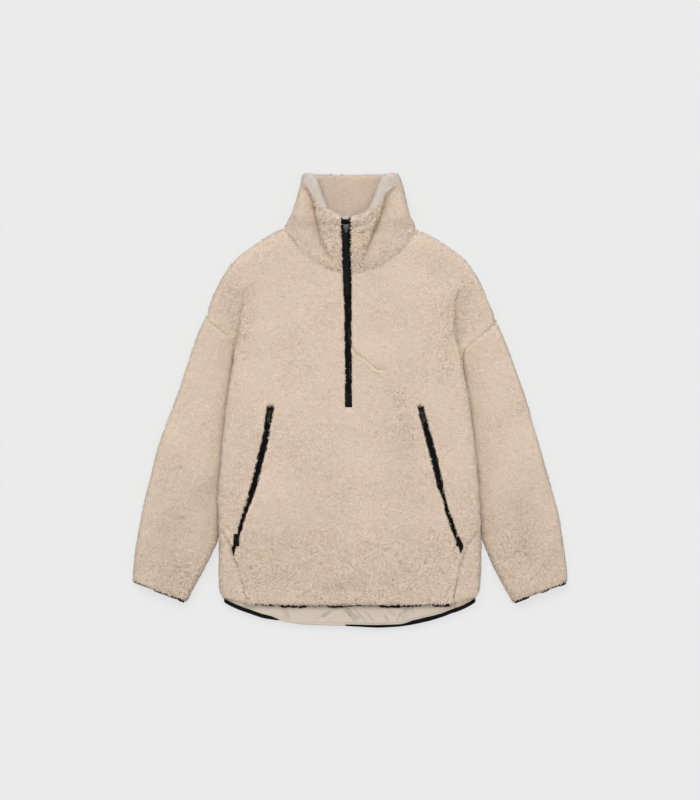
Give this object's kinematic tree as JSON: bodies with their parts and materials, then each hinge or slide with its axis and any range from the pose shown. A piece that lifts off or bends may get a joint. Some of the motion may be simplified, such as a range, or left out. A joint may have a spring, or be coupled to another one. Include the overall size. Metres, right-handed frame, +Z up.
{
  "type": "fleece pullover",
  "caption": "Long-sleeved pile-fleece pullover with a stand collar, half zip, slanted zip pockets and bound hems, laid flat on its back, to wear or to dress a shelf or table.",
  "frame": {"origin": "centre of the outline in plan, at the surface that the pullover lies on", "axes": "+Z up out of the garment's front, +Y from the hem to the collar along the front zip, +X to the viewer's right, which is the wearer's left sleeve"},
  "size_m": [0.8266, 0.8629, 0.0421],
  "materials": {
    "fleece": "long soft curled pile, sand-cream",
    "fleece_inside": "shorter soft pile, a little darker",
    "lining": "smooth plain-woven lining, cream",
    "black_tape": "black woven tape and webbing, matt",
    "black_metal": "black coated die-cast metal, satin",
    "pale_tab": "pale grey woven tab"
  },
  "bodies": {
    "garment": {"back_panel": "fleece", "collar_inner": "fleece_inside", "collar_outer": "fleece", "cuff_binding_left": "black_tape", "cuff_binding_right": "black_tape", "front_panel": "fleece", "front_slider": "black_metal", "hem_binding_back": "black_tape", "hem_binding_front": "black_tape", "lining_back_hem": "lining", "pocket_end_tab_left": "black_tape", "pocket_end_tab_right": "black_tape", "pocket_slider_left": "black_metal", "pocket_slider_right": "black_metal", "pocket_zip_left": "black_tape", "pocket_zip_right": "black_tape", "side_panel_left": "fleece", "side_panel_right": "fleece", "sleeve_left": "fleece", "sleeve_right": "fleece", "zip_coil": "black_tape", "zip_end_tab": "black_tape", "zip_tape_left": "black_tape", "zip_tape_right": "black_tape", "zip_top_tab": "pale_tab"},
    "front_pull": {"front_pull_tab": "black_metal", "front_pull_strap": "black_tape"},
    "left_pull": {"pocket_pull_left": "black_metal"},
    "right_pull": {"pocket_pull_right": "black_metal"}
  },
  "joints": [
    {"name": "front_pull_hinge", "type": "hinge", "parent": "garment", "child": "front_pull", "pos_m": [-0.00753, 0.3243, 0.03613], "axis": [-1, 0, 0], "range_deg": [0, 150]},
    {"name": "left_pull_hinge", "type": "hinge", "parent": "garment", "child": "left_pull", "pos_m": [-0.15279, -0.024, 0.0235], "axis": [-0.9885, 0.1511, 0], "range_deg": [0, 150]},
    {"name": "right_pull_hinge", "type": "hinge", "parent": "garment", "child": "right_pull", "pos_m": [0.1364, -0.024, 0.0235], "axis": [-0.9603, -0.279, 0], "range_deg": [0, 150]}
  ]
}
